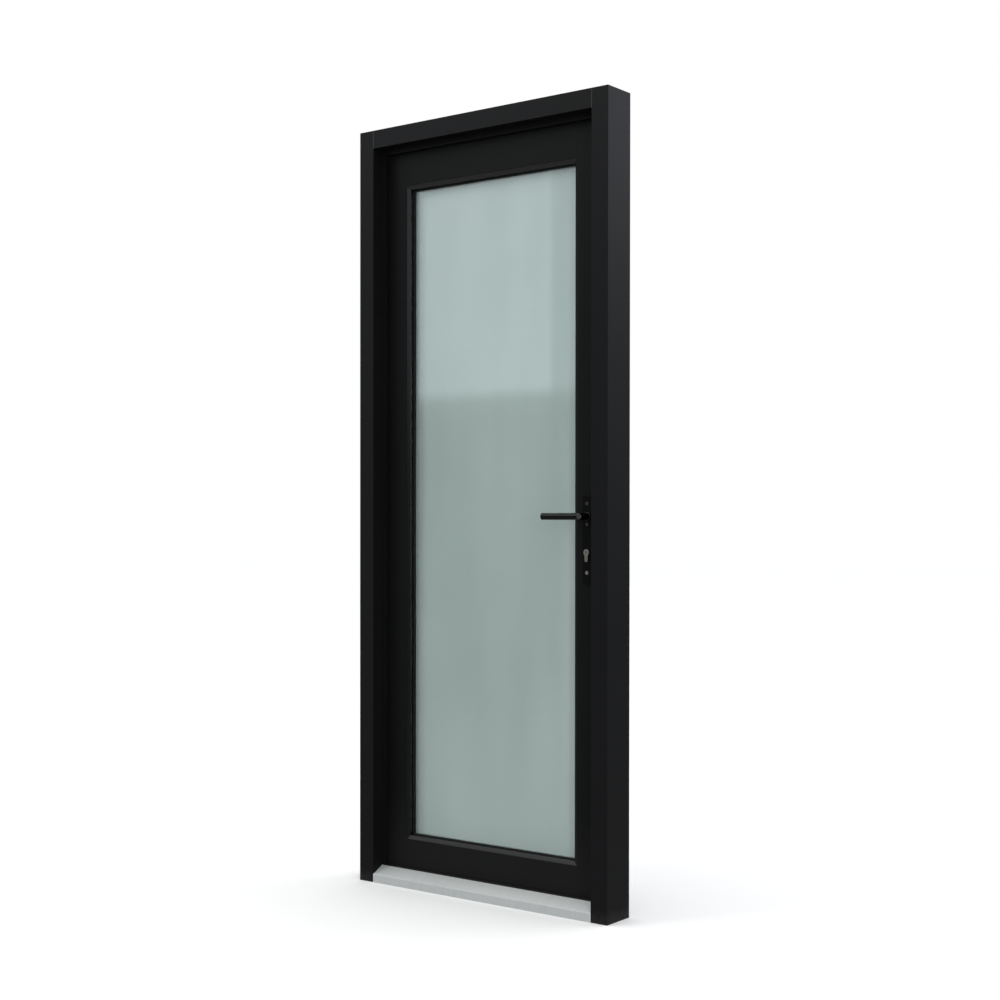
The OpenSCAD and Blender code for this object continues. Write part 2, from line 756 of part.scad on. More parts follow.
// A coil along X, swept as one ring of points after another
spring_x0 = lug_x + lug_t + fit;
spring_x1 = leaf_x - latch_back - fit;
spring_sides = 6;
spring_steps = 12;
function coil_point(i, j) =
    let (t = i / spring_steps, a = 360 * t, b = 360 * j / spring_sides,
         r = spring_r + spring_wire * cos(b),
         x = spring_x0 + spring_wire + (spring_x1 - spring_x0 - 2 * spring_wire) * t / spring_turns)
    [x + spring_wire * sin(b), leaf_mid + r * cos(a), spring_z + r * sin(a)];
module latch_spring() {
    rings = spring_steps * spring_turns;
    points = [for (i = [0 : rings]) for (j = [0 : spring_sides - 1]) coil_point(i, j)];
    walls = [for (i = [0 : rings - 1]) for (j = [0 : spring_sides - 1])
        let (a = i * spring_sides + j, b = i * spring_sides + (j + 1) % spring_sides)
        each [[a, b, b + spring_sides], [a, b + spring_sides, a + spring_sides]]];
    first = [for (j = [spring_sides - 1 : -1 : 0]) j];
    last = [for (j = [0 : spring_sides - 1]) rings * spring_sides + j];
    color(steel) polyhedron(points, concat(walls, [first], [last]));
}

module deadbolt() {
    color(steel) span(leaf_x - bolt_back, leaf_x, leaf_mid - bolt_t / 2, leaf_mid + bolt_t / 2,
                      bolt_z0, bolt_z0 + bolt_h);
}

module follower() {
    color(steel) translate([axis_x, 0, axis_z]) difference() {
        union() {
            along_y(case_y0, case_y1) circle(hub_r);
            span(-arm_w / 2, arm_w / 2, leaf_mid - 3, leaf_mid + 3, 0, arm_len);
        }
        along_y(case_y0 - 1, case_y1 + 1) square(spindle_s + 2 * running, center = true);
    }
}

// ---- Cylinder ----

module cylinder_body() {
    color(brass) difference() {
        translate([axis_x, 0, key_z]) difference() {
            along_y(cyl_y0, cyl_y1) euro_2d(0);
            along_y(cyl_y0 - 1, cyl_y1 + 1) circle(plug_r + running);
            span(-cyl_r - 1, cyl_r + 1, leaf_mid - cam_t / 2 - fit, leaf_mid + cam_t / 2 + fit,
                 -cam_reach - fit, cyl_r + 1);
        }
        cylinder_screw_shape(screw_hole);
    }
}
module key_plug() {
    color(brass) translate([axis_x, 0, key_z]) difference() {
        along_y(cyl_y0, leaf_mid - cam_t / 2 - fit / 2) circle(plug_r);
        span(-0.8, 0.8, cyl_y0 - 1, cyl_y0 + 8, -4, 4);
    }
}
module outer_key_plug() key_plug();
module inner_key_plug() on_room_side() key_plug();
module cylinder_cam() {
    color(steel) translate([axis_x, 0, key_z]) along_y(leaf_mid - cam_t / 2, leaf_mid + cam_t / 2)
        intersection() {
            circle(cam_reach);
            union() {
                circle(cam_ring_r);
                translate([-cam_bit_w / 2, -cam_reach]) square([cam_bit_w, cam_reach]);
            }
        }
}
module cylinder_screw() {
    color(steel) cylinder_screw_shape(0);
}

// ---- Lever set ----

module plate_outline(inset) {
    translate([0, (plate_up - plate_down) / 2])
        round_rect(plate_w - 2 * inset, plate_up + plate_down - 2 * inset, plate_round - inset / 2);
}
module plate_blank() {
    translate([axis_x, 0, axis_z]) difference() {
        along_y(plate_face_y, leaf_y) plate_outline(0);
        along_y(plate_face_y + plate_floor, leaf_y + 1) difference() {
            plate_outline(plate_wall);
            circle(bush_out_r + plate_wall);
            for (dz = plate_screw_dz) translate([0, dz]) circle(boss_r);
            translate([0, -key_drop]) euro_2d(plate_wall);
        }
        along_y(plate_face_y - 1, leaf_y + 1) {
            circle(bush_out_r + running);
            translate([0, -key_drop]) euro_2d(fit);
        }
    }
}
module at_plate_screws() {
    for (dz = plate_screw_dz) translate([axis_x, plate_face_y, axis_z + dz]) rotate([90, 0, 0]) children();
}
module outer_back_plate() {
    color(charcoal) difference() {
        plate_blank();
        at_plate_screws() sunk_hole(bolt_r, bolt_head_r, bolt_head_h, leaf_d);
    }
}
module inner_back_plate() {
    color(charcoal) difference() {
        on_room_side() plate_blank();
        translate([axis_x, 0, axis_z]) along_y(leaf_back - 1, leaf_back + plate_t - 2)
            for (dz = plate_screw_dz) translate([0, dz]) circle(bolt_r + running);
    }
}
module plate_screws() {
    color(steel) at_plate_screws()
        sunk_screw(bolt_r, bolt_head_r, bolt_head_h, plate_t + leaf_d + plate_t - 3);
}
module bush() {
    translate([axis_x, 0, axis_z]) difference() {
        union() {
            along_y(plate_face_y - bush_flange_t, plate_face_y) circle(bush_flange_r);
            along_y(plate_face_y - bush_flange_t / 2, leaf_y - fit) circle(bush_out_r);
        }
        along_y(plate_face_y - plate_t, leaf_y + 1) circle(bush_in_r + running);
    }
}
module lever_bushes() {
    color(nylon) {
        bush();
        on_room_side() bush();
    }
}
// A round bar that meets a round neck at a mitre, with the corner cut to a chamfer
module lever() {
    neck_end = plate_face_y - bush_flange_t - slack;
    chamfer = 6.5;
    tip_round = 1;
    translate([axis_x, 0, axis_z]) difference() {
        union() {
            intersection() {
                along_y(lever_y - 2 * lever_r, neck_end) circle(neck_r);
                union() {
                    translate([0, lever_y, 0]) rotate([0, -90, 0])
                        cylinder(h = 4 * neck_r, r = lever_r, center = true);
                    span(-2 * neck_r, 2 * neck_r, lever_y, neck_end + 1, -2 * neck_r, 2 * neck_r);
                }
            }
            along_y(neck_end - 1, leaf_y - slack) circle(bush_in_r);
            translate([0, lever_y, 0]) rotate([0, -90, 0]) {
                cylinder(h = lever_len - tip_round, r = lever_r);
                translate([0, 0, lever_len - tip_round])
                    cylinder(h = tip_round, r1 = lever_r, r2 = lever_r - tip_round);
            }
        }
        translate([0, lever_y, 0]) rotate([0, 0, 45])
            translate([-2 * lever_len, -chamfer - lever_len, -lever_len])
                cube([4 * lever_len, lever_len, 2 * lever_len]);
        along_y(plate_face_y - spindle_in - fit, leaf_y) square(spindle_s + 2 * running, center = true);
        translate([0, grub_y, -neck_r - 1]) cylinder(h = neck_r, r = bolt_r + running);
    }
}
module outer_lever() color(charcoal) lever();
module inner_lever() color(charcoal) on_room_side() lever();
module spindle() {
    color(steel) translate([axis_x, 0, axis_z])
        along_y(plate_face_y - spindle_in, 2 * leaf_mid - plate_face_y + spindle_in)
            square(spindle_s, center = true);
}
module grub_screw() {
    translate([axis_x, grub_y, axis_z - neck_r + 0.4])
        cylinder(h = neck_r - 0.4 - spindle_s / 2 - running, r = bolt_r);
}
module grub_screws() {
    color(steel) {
        grub_screw();
        on_room_side() grub_screw();
    }
}

hinge_jamb();
lock_jamb();
head();
sill();
frame_cleats();
hinge_jamb_seal();
lock_jamb_seal();
head_seal();
sill_seal();
strike_plate();
strike_backing();
strike_screws();
bottom_hinge_frame_flag();
middle_hinge_frame_flag();
top_hinge_frame_flag();
hinge_pins();
frame_hinge_screws();
hinge_stile();
lock_stile();
top_rail();
bottom_rail();
leaf_cleats();
hinge_side_bead();
lock_side_bead();
top_bead();
bottom_bead();
outer_pane();
inner_pane();
spacer_frame();
outer_glazing_seal();
inner_glazing_seal();
setting_blocks();
bottom_sweep();
bottom_hinge_leaf_flag();
middle_hinge_leaf_flag();
top_hinge_leaf_flag();
leaf_hinge_screws();
lock_case();
lock_cover();
forend();
forend_blocks();
forend_screws();
cylinder_body();
cylinder_screw();
outer_back_plate();
inner_back_plate();
lever_bushes();
plate_screws();
outer_lever();
inner_lever();
spindle();
follower();
grub_screws();
latch_bolt();
latch_spring();
deadbolt();
outer_key_plug();
inner_key_plug();
cylinder_cam();
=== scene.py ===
"""Looks, light and camera for the hinged glass door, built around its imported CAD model."""
import json
import math

import bmesh
import bpy
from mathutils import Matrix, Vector


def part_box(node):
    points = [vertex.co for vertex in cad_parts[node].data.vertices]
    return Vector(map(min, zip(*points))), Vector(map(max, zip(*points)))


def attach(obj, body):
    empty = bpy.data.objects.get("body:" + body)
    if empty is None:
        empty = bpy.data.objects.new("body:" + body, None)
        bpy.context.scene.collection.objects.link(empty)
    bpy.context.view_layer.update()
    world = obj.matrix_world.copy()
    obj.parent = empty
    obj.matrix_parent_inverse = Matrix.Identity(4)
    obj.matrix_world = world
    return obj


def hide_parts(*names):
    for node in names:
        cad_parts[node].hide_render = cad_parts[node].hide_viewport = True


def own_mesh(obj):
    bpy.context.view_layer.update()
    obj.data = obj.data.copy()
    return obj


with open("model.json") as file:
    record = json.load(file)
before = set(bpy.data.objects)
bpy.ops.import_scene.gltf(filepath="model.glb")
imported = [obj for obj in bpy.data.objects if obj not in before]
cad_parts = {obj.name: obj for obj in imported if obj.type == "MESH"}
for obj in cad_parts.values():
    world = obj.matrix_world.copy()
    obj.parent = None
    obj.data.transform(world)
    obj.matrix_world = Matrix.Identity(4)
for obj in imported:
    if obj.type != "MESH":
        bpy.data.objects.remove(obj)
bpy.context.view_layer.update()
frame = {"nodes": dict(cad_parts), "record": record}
nodes = frame["nodes"]


def link(obj):
    """Puts a new object into the scene."""
    bpy.context.scene.collection.objects.link(obj)
    return obj


# ---------------------------------------------------------------- camera
CAMERA_AT = (2.612, -3.337, 1.017)
CAMERA_DOWN = 0.46  # degrees below level
CAMERA_ROLL = 0.06
CAMERA_TURN = 36.99  # degrees from +Y towards -X
CAMERA_LENS = 56.9
CAMERA_SHIFT = (-0.0175, 0.0318)


def make_camera():
    data = bpy.data.cameras.new("camera")
    data.lens = CAMERA_LENS
    data.sensor_width = 36
    data.shift_x, data.shift_y = CAMERA_SHIFT
    camera = link(bpy.data.objects.new("camera", data))
    camera.location = CAMERA_AT
    turns = (90 - CAMERA_DOWN, -CAMERA_ROLL, CAMERA_TURN)
    camera.rotation_euler = [math.radians(t) for t in turns]
    bpy.context.scene.camera = camera


# ---------------------------------------------------------------- node helpers
def add(tree, kind, inputs=None, **settings):
    """A node of that kind, with its settings, and its inputs linked or set."""
    made = tree.nodes.new(kind)
    for name, value in settings.items():
        setattr(made, name, value)
    for name, value in (inputs or {}).items():
        if isinstance(value, bpy.types.NodeSocket):
            tree.links.new(value, made.inputs[name])
        else:
            made.inputs[name].default_value = value
    return made


def math_node(tree, operation, a, b):
    return add(tree, "ShaderNodeMath", {0: a, 1: b}, operation=operation).outputs[0]


def ramp_of(tree, value, stops):
    """A colour ramp with any number of (position, colour) stops."""
    ramp = add(tree, "ShaderNodeValToRGB", {"Fac": value})
    elements = ramp.color_ramp.elements
    while len(elements) < len(stops):
        elements.new(0.5)
    for element, (at, colour) in zip(elements, stops):
        element.position = at
        element.color = (*colour, 1)
    return ramp.outputs["Color"]


class Finish:
    """A material under construction: its tree, and the place its patterns follow."""

    def __init__(self, name):
        self.material = bpy.data.materials.new(name)
        self.material.use_nodes = True
        self.tree = self.material.node_tree
        self.tree.nodes.clear()
        self.place = add(self.tree, "ShaderNodeTexCoord").outputs["Object"]

    def noise(self, scale, detail=2.0, stretch=(1, 1, 1), rough=0.5):
        """Noise with features 1 / scale metres across, drawn out where stretch is small."""
        where = add(self.tree, "ShaderNodeMapping", {"Vector": self.place, "Scale": stretch})
        made = add(self.tree, "ShaderNodeTexNoise", {
            "Vector": where.outputs[0], "Scale": scale, "Detail": detail, "Roughness": rough})
        return made.outputs["Fac"]

    def between(self, fac, low, high, start=0.3, end=0.7):
        """A number that goes from low to high as fac goes from start to end."""
        made = add(self.tree, "ShaderNodeMapRange", {
            "Value": fac, "From Min": start, "From Max": end, "To Min": low, "To Max": high})
        return made.outputs[0]

    def tint(self, fac, low, high, start=0.3, end=0.7):
        """A colour that goes from low to high as fac goes from start to end."""
        return ramp_of(self.tree, fac, [(start, low), (end, high)])

    def blend(self, fac, a, b):
        """The colour a, going over to b as fac goes from 0 to 1."""
        made = add(self.tree, "ShaderNodeMix", {"Factor": fac, "A": a, "B": b}, data_type="RGBA")
        return made.outputs["Result"]

    def height(self):
        """The height above the floor, in metres."""
        return add(self.tree, "ShaderNodeSeparateXYZ", {0: self.place}).outputs["Z"]

    def bump(self, height, depth, strength, under=None):
        """The surface's normal, with the height's pattern depth metres deep."""
        inputs = {"Height": height, "Distance": depth, "Strength": strength}
        if under is not None:
            inputs["Normal"] = under
        return add(self.tree, "ShaderNodeBump", inputs).outputs[0]

    def surface(self, **inputs):
        return add(self.tree, "ShaderNodeBsdfPrincipled",
                   {k.replace("_", " "): v for k, v in inputs.items()}).outputs[0]

    def done(self, shader):
        add(self.tree, "ShaderNodeOutputMaterial", {"Surface": shader})
        return self.material


# ---------------------------------------------------------------- materials
DUST_HEIGHT = 0.035  # the dust on the coat ends this far above the floor
# colour of the dusting near the floor, and also of the painted bounce light low on the leaf
DUST_AND_BOUNCE_COLOUR = (0.030, 0.029, 0.028)
PAINTED_BOUNCE_HEIGHT = (0.10, 0.26)  # painted bounce light from the sill lightens the coat evenly below the first height and fades out by the second
DARKER_SCREWS_FROM = 0.97  # the door furniture's screws are darker and browner above this height
DARKER_SCREWS_FADE = 0.02  # the change takes this much height
DARK_ZINC = ((0.060, 0.052, 0.042), (0.11, 0.098, 0.082))
ALONG_Y = (1.0, 0.03, 1.0)  # how a pattern is drawn out
ALONG_Z = (1.0, 1.0, 0.04)
ACROSS_X = (1.0, 0.03, 0.03)
MIRROR_SHARE = (0.07, 0.9)  # how much a clear pane mirrors, face on and at a glancing angle
SHEER = 0.3  # how much of the satin pane's light comes through from behind


def powder_coat(name, dark, light, roughness, specular, sheen_tint=(1, 1, 1), painted_bounce=0.0):
    """Satin powder coat: near-black, with a slow drift of tone, a fine skin, floor dusting and
    painted bounce light.

    The last argument is how much of the dusting colour is painted on evenly as bounce light from
    the sill, fading out between the two painted bounce heights.
    """
    f = Finish(name)
    drift = f.noise(2.2, detail=4)
    grain = f.noise(900, detail=2)
    peel = f.noise(380, detail=3)
    height = f.height()
    low = f.between(height, 1.0, 0.0, 0.0, DUST_HEIGHT)
    dust_and_bounce = math_node(f.tree, "MULTIPLY", low, f.between(f.noise(60, detail=5), 0.3, 1.0))
    # painted bounce light: the lower part of the coat is lightened evenly towards the dusting
    # colour
    if painted_bounce:
        dust_and_bounce = math_node(f.tree, "MAXIMUM", dust_and_bounce, f.between(height, painted_bounce, 0.0, *PAINTED_BOUNCE_HEIGHT))
    colour = f.blend(dust_and_bounce, f.tint(drift, dark, light), (*DUST_AND_BOUNCE_COLOUR, 1))
    rough = f.between(grain, roughness - 0.05, roughness + 0.06)
    skin = f.bump(peel, 0.00006, 0.35, f.bump(grain, 0.00002, 0.3))
    return f.done(f.surface(Base_Color=colour, Roughness=rough, Normal=skin,
                            Specular_IOR_Level=specular, Specular_Tint=(*sheen_tint, 1)))


def metal(name, dark, light, roughness, brush=(1, 1, 1)):
    """Bare metal with brush marks drawn out along one axis."""
    f = Finish(name)
    lines = f.noise(700, detail=4, stretch=brush, rough=0.6)
    drift = f.noise(9, detail=3)
    colour = f.tint(lines, dark, light, 0.25, 0.75)
    rough = f.between(drift, roughness - 0.06, roughness + 0.06)
    return f.done(f.surface(Base_Color=colour, Roughness=rough, Metallic=1.0,
                            Normal=f.bump(lines, 0.00002, 0.5)))


def anodised(name, dark, light):
    """Silver anodising: pale and nearly matt, with rolled lines from front to back."""
    f = Finish(name)
    fine = f.noise(700, detail=3, stretch=ACROSS_X, rough=0.6)
    broad = f.noise(110, detail=2, stretch=ACROSS_X)
    lines = math_node(f.tree, "ADD", math_node(f.tree, "MULTIPLY", fine, 0.65),
                      math_node(f.tree, "MULTIPLY", broad, 0.35))
    return f.done(f.surface(Base_Color=f.tint(lines, dark, light, 0.35, 0.65),
                            Roughness=f.between(f.noise(9, detail=3), 0.40, 0.52), Metallic=0.12,
                            Normal=f.bump(lines, 0.00003, 0.4)))


def plated(name, dark, light, upper_low, upper_high):
    """Zinc plating, darker and browner on the screws above a set height."""
    f = Finish(name)
    height = f.height()
    stain = f.noise(800, detail=3)
    fresh = f.tint(stain, dark, light)
    upper_colour = f.tint(stain, upper_low, upper_high)
    colour = f.blend(f.between(height, 0.0, 1.0, DARKER_SCREWS_FROM, DARKER_SCREWS_FROM + DARKER_SCREWS_FADE), fresh, upper_colour)
    return f.done(f.surface(Base_Color=colour, Roughness=f.between(stain, 0.32, 0.48), Metallic=1.0,
                            Normal=f.bump(stain, 0.00002, 0.4)))


def rubber(name):
    """Black EPDM: matt, with a dusty bloom."""
    f = Finish(name)
    bloom = f.noise(45, detail=5)
    pores = f.noise(1600, detail=2)
    return f.done(f.surface(Base_Color=f.tint(bloom, (0.006, 0.006, 0.006), (0.013, 0.013, 0.013)),
                            Roughness=f.between(pores, 0.55, 0.75), Specular_IOR_Level=0.3,
                            Normal=f.bump(pores, 0.00003, 0.4)))


def sealant(name, dark, light):
    """Cured sealant, wiped with a finger."""
    f = Finish(name)
    smear = f.noise(300, detail=3)
    return f.done(f.surface(Base_Color=f.tint(smear, dark, light),
                            Roughness=f.between(smear, 0.5, 0.7),
                            Normal=f.bump(smear, 0.00003, 0.4)))


def nylon(name):
    """Moulded black nylon."""
    f = Finish(name)
    flow = f.noise(60, detail=3)
    skin = f.noise(1300, detail=2)
    return f.done(f.surface(Base_Color=f.tint(flow, (0.022, 0.022, 0.023), (0.034, 0.034, 0.035)),
                            Roughness=f.between(skin, 0.38, 0.52),
                            Normal=f.bump(skin, 0.00002, 0.4)))


def clear_glass(name):
    """A thin clear pane: it mirrors more at a glancing angle, and tints what is behind it."""
    f = Finish(name)
    facing = add(f.tree, "ShaderNodeLayerWeight", {"Blend": 0.5}).outputs["Facing"]
    glancing = math_node(f.tree, "POWER", facing, 5.0)
    share = f.between(glancing, *MIRROR_SHARE, 0.0, 1.0)
    waves = f.noise(5, detail=1)
    tint = f.tint(f.noise(3, detail=2), (0.955, 0.985, 0.975), (0.965, 0.99, 0.98))
    see = add(f.tree, "ShaderNodeBsdfTransparent", {"Color": tint}).outputs[0]
    mirror = add(f.tree, "ShaderNodeBsdfGlossy",
                 {"Roughness": f.between(f.noise(14, detail=3), 0.01, 0.03),
                  "Normal": f.bump(waves, 0.0002, 0.2)}).outputs[0]
    return f.done(add(f.tree, "ShaderNodeMixShader", {0: share, 1: see, 2: mirror}).outputs[0])


def satin_glass(name):
    """The satin pane: a pale grey-green that scatters light from both sides, softly uneven."""
    f = Finish(name)
    folds = f.noise(7, detail=3, stretch=(1.0, 1.0, 0.12))
    clouds = f.noise(2.4, detail=4)
    blend = math_node(f.tree, "ADD", math_node(f.tree, "MULTIPLY", folds, 0.6),
                      math_node(f.tree, "MULTIPLY", clouds, 0.4))
    lit = f.tint(blend, (0.645, 0.695, 0.682), (0.735, 0.778, 0.765), 0.35, 0.65)
    through = add(f.tree, "ShaderNodeBsdfTranslucent", {"Color": lit}).outputs[0]
    face = f.surface(Base_Color=lit, Roughness=f.between(f.noise(300, detail=2), 0.30, 0.40),
                     Specular_IOR_Level=0.4, Normal=f.bump(f.noise(5, detail=1), 0.0004, 0.3))
    return f.done(add(f.tree, "ShaderNodeMixShader", {0: SHEER, 1: face, 2: through}).outputs[0])


finishes = {
    "frame_coat": powder_coat("frame_powder_coat",
                              (0.0080, 0.0080, 0.0087), (0.0094, 0.0094, 0.0102),
                              roughness=0.42, specular=0.075),
    # the leaf's coat carries painted bounce light near its bottom
    "leaf_coat": powder_coat("leaf_powder_coat",
                             (0.0070, 0.0071, 0.0074), (0.0082, 0.0083, 0.0086),
                             roughness=0.44, specular=0.065, painted_bounce=0.22),
    "hinge_coat": powder_coat("hinge_powder_coat",
                              (0.0042, 0.0043, 0.0046), (0.0054, 0.0055, 0.0059),
                              roughness=0.38, specular=0.15),
    "handle_coat": powder_coat("handle_powder_coat",
                               (0.0020, 0.0019, 0.0018), (0.0027, 0.0026, 0.0024),
                               roughness=0.22, specular=0.14, sheen_tint=(1.0, 0.95, 0.88)),
    "sill_metal": anodised("anodised_sill", (0.56, 0.580, 0.572), (0.62, 0.640, 0.632)),
    "mill_aluminium": metal("mill_aluminium", (0.60, 0.61, 0.62), (0.74, 0.75, 0.76),
                            0.45, ALONG_Z),
    "seal_rubber": rubber("seal_rubber"),
    "steel": metal("stainless_steel", (0.46, 0.46, 0.46), (0.58, 0.58, 0.59), 0.34, ALONG_Z),
    "screw_steel": plated("zinc_plate", (0.25, 0.24, 0.22), (0.40, 0.385, 0.355), *DARK_ZINC),
    "cylinder_metal": metal("dull_nickel_brass", (0.19, 0.172, 0.136), (0.30, 0.275, 0.225),
                            0.36, ALONG_Y),
    "nylon": nylon("glass_filled_nylon"),
}
# The pieces whose finish is not that of their slot
plug_finish = metal("bright_nickel", (0.66, 0.64, 0.60), (0.84, 0.82, 0.78), 0.14, ALONG_Y)
bead_finish = powder_coat("bead_powder_coat", (0.0034, 0.0034, 0.0034), (0.0044, 0.0044, 0.0044),
                          roughness=0.20, specular=0.42)
plate_finish = powder_coat("plate_powder_coat", (0.0026, 0.0026, 0.0026), (0.0034, 0.0034, 0.0034),
                           roughness=0.38, specular=0.07)
hinge_screw_finish = metal("blackened_zinc", *DARK_ZINC, 0.38)
own_finish = {
    "outer_pane": clear_glass("clear_glass"),
    "inner_pane": satin_glass("satin_glass"),
    "outer_key_plug": plug_finish,
    "inner_key_plug": plug_finish,
    "hinge_side_bead": bead_finish,
    "top_bead": bead_finish,
    "bottom_bead": bead_finish,
    "outer_back_plate": plate_finish,
    "inner_back_plate": plate_finish,
    "frame_hinge_screws": hinge_screw_finish,
    "leaf_hinge_screws": hinge_screw_finish,
}


def dress_nodes():
    """Each CAD node's own finish, or else the one of its slot."""
    for name, obj in nodes.items():
        for slot in obj.material_slots:
            slot.material = own_finish[name] if name in own_finish else finishes[slot.material.name]


# ---------------------------------------------------------------- rounded edges and recesses
SHARP = math.radians(35)
FLAT = math.radians(0.5)
MERGE = 0.00001  # points nearer than this are one
JAMB_FACE = 0.050  # how much of the frame shows around the opening
SILL_NOSE = 0.023  # height of the sill's front face
STOP_Y = -0.013  # front of the stops, where the sloped top of the sill ends


def clean_faces():
    """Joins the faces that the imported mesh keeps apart, shaded smooth up to a sharp edge."""
    group = bpy.data.node_groups.new("clean_faces", "GeometryNodeTree")
    for way in ("INPUT", "OUTPUT"):
        group.interface.new_socket("Geometry", in_out=way, socket_type="NodeSocketGeometry")
    start = add(group, "NodeGroupInput")
    joined = add(group, "GeometryNodeMergeByDistance",
                 {"Geometry": start.outputs[0], "Distance": MERGE})
    angle = add(group, "GeometryNodeInputMeshEdgeAngle")
    sharp = add(group, "FunctionNodeCompare", {"A": angle.outputs["Unsigned Angle"], "B": SHARP},
                data_type="FLOAT", operation="GREATER_THAN")
    shaded = add(group, "GeometryNodeSetMeshNormal", {
        "Mesh": joined.outputs[0], "Remove Custom": True, "Edge Sharpness": sharp.outputs[0]})
    add(group, "NodeGroupOutput", {"Geometry": shaded.outputs[0]})
    return group


def clean(obj, group):
    obj.modifiers.new("clean", "NODES").node_group = group


def round_edges(obj, width):
    """Makes each flat face one face, and rounds the sharp edges between them."""
    flat = obj.modifiers.new("flat_faces", "DECIMATE")
    flat.decimate_type = "DISSOLVE"
    flat.angle_limit = FLAT
    bevel = obj.modifiers.new("round_edges", "BEVEL")
    bevel.width = width
    bevel.segments = 2
    bevel.limit_method = "ANGLE"
    bevel.angle_limit = SHARP
    bevel.use_clamp_overlap = False
    bevel.harden_normals = True


hinge_flags = [hand + "_hinge_" + side + "_flag"
               for hand in ("top", "middle", "bottom") for side in ("frame", "leaf")]
edge_width = {
    0.0009: ["sill", "hinge_side_bead", "lock_side_bead", "top_bead", "bottom_bead"],
    0.0006: ["hinge_jamb", "lock_jamb", "head"],
    0.0004: ["outer_back_plate", "inner_back_plate"],
    0.0003: ["hinge_stile", "lock_stile", "top_rail", "bottom_rail", *hinge_flags,
             "strike_plate", "forend", "latch_bolt", "deadbolt", "outer_lever", "inner_lever",
             "outer_key_plug", "inner_key_plug", "hinge_pins"],
}


def shape_edges(group):
    for width, names in edge_width.items():
        for name in names:
            clean(nodes[name], group)
            round_edges(nodes[name], width)


def object_from(work, name):
    """A new object with the mesh under construction, its faces turned outwards."""
    bmesh.ops.recalc_face_normals(work, faces=work.faces)
    mesh = bpy.data.meshes.new(name)
    work.to_mesh(mesh)
    work.free()
    return link(bpy.data.objects.new(name, mesh))


def solids_of(obj):
    """The lowest and highest corner of each separate solid in a node's mesh."""
    work = bmesh.new()
    work.from_mesh(obj.data)
    bmesh.ops.remove_doubles(work, verts=work.verts, dist=MERGE)
    seen, boxes = set(), []
    for first in work.verts:
        if first in seen:
            continue
        seen.add(first)
        ring, solid = [first], []
        while ring:
            vert = ring.pop()
            solid.append(vert.co.copy())
            for edge in vert.link_edges:
                other = edge.other_vert(vert)
                if other not in seen:
                    seen.add(other)
                    ring.append(other)
        boxes.append([Vector([pick(c[i] for c in solid) for i in range(3)])
                      for pick in (min, max)])
    work.free()
    return boxes


def cross_outline(reach, width):
    """The twelve corners of a cross, in order."""
    r, w = reach, width / 2
    quarter = [(r, -w), (r, w), (w, w)]
    return [(x * math.cos(t) - y * math.sin(t), x * math.sin(t) + y * math.cos(t))
            for t in [k * math.pi / 2 for k in range(4)] for x, y in quarter]


def hexagon_outline(reach, _width):
    """The six corners of a hexagon, in order."""
    return [(reach * math.cos(t), reach * math.sin(t))
            for t in [k * math.pi / 3 for k in range(6)]]


def sunk_prism(work, outline, centre, out, depth, narrow):
    """A closed prism that goes depth deep against the direction out, and narrows on the way."""
    turn = out.to_track_quat("Z", "Y").to_matrix()
    proud = 0.0002
    levels = []
    for height, share in ((proud, 1.0), (-depth, narrow)):
        levels.append([work.verts.new(centre + turn @ Vector((x * share, y * share, height)))
                       for x, y in outline])
    top, bottom = levels
    work.faces.new(top)
    work.faces.new(bottom[::-1])
    for k in range(len(top)):
        after = (k + 1) % len(top)
        work.faces.new([top[k], bottom[k], bottom[after], top[after]])


def body_with(name):
    """The body that holds a CAD node."""
    bodies = frame["record"]["behaviour"]["bodies"]
    return next(body for body, held in bodies.items() if name in held)


def cut_recesses(group, name, out, outline, reach, width, depth, narrow):
    """Sinks a recess for a tool into the head of each screw of a node, against the direction out.

    Sizes are shares of the head's radius. narrow is how much of the recess's width is left at its
    bottom.
    """
    node, out = nodes[name], Vector(out)
    work = bmesh.new()
    for low, high in solids_of(node):
        middle = (low + high) / 2
        half = (high - low) / 2
        centre = middle + Vector([half[i] * out[i] for i in range(3)])
        radius = max(half[i] for i in range(3) if not out[i])
        corners = outline(reach * radius, width * radius)
        sunk_prism(work, corners, centre, out, depth * radius, narrow)
    cutter = object_from(work, name + "_recesses")
    cutter.hide_render = True
    cutter.hide_viewport = True
    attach(cutter, body_with(name))
    clean(node, group)
    cut = node.modifiers.new("recess", "BOOLEAN")
    cut.operation = "DIFFERENCE"
    cut.solver = "EXACT"
    cut.object = cutter


def cut_all_recesses(group):
    for name, out in (("plate_screws", (0, -1, 0)), ("frame_hinge_screws", (0, 1, 0)),
                      ("leaf_hinge_screws", (0, 1, 0)), ("forend_screws", (1, 0, 0)),
                      ("strike_screws", (-1, 0, 0)), ("cylinder_screw", (1, 0, 0))):
        cut_recesses(group, name, out, cross_outline,
                     reach=0.62, width=0.26, depth=0.5, narrow=0.55)
    cut_recesses(group, "grub_screws", (0, 0, -1), hexagon_outline,
                 reach=0.55, width=0, depth=0.8, narrow=1.0)


def sealant_bead(name, finish, x, path, half, proud):
    """A thin bead, half wide to each side of x, in the finish given: sealant, except at the head
    joints where its grey is a painted highlight.

    It follows a path of (y, z, outward y, outward z).
    """
    across = [-1.0, -0.6, -0.2, 0.2, 0.6, 1.0]
    root = 0.0005  # how deep the bead reaches into the joint
    sides = across + [0.9, -0.9]
    heights = [proud * (1 - a * a) for a in across] + [-root, -root]
    work = bmesh.new()
    rows = []
    for y, z, out_y, out_z in path:
        rows.append([work.verts.new((x + half * a, y + out_y * h, z + out_z * h))
                     for a, h in zip(sides, heights)])
    work.faces.new(rows[0])
    work.faces.new(rows[-1][::-1])
    for row, after in zip(rows, rows[1:]):
        for k in range(len(row)):
            n = (k + 1) % len(row)
            work.faces.new([row[k], after[k], after[n], row[n]])
    obj = object_from(work, name)
    obj.data.materials.append(finish)
    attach(obj, "frame")


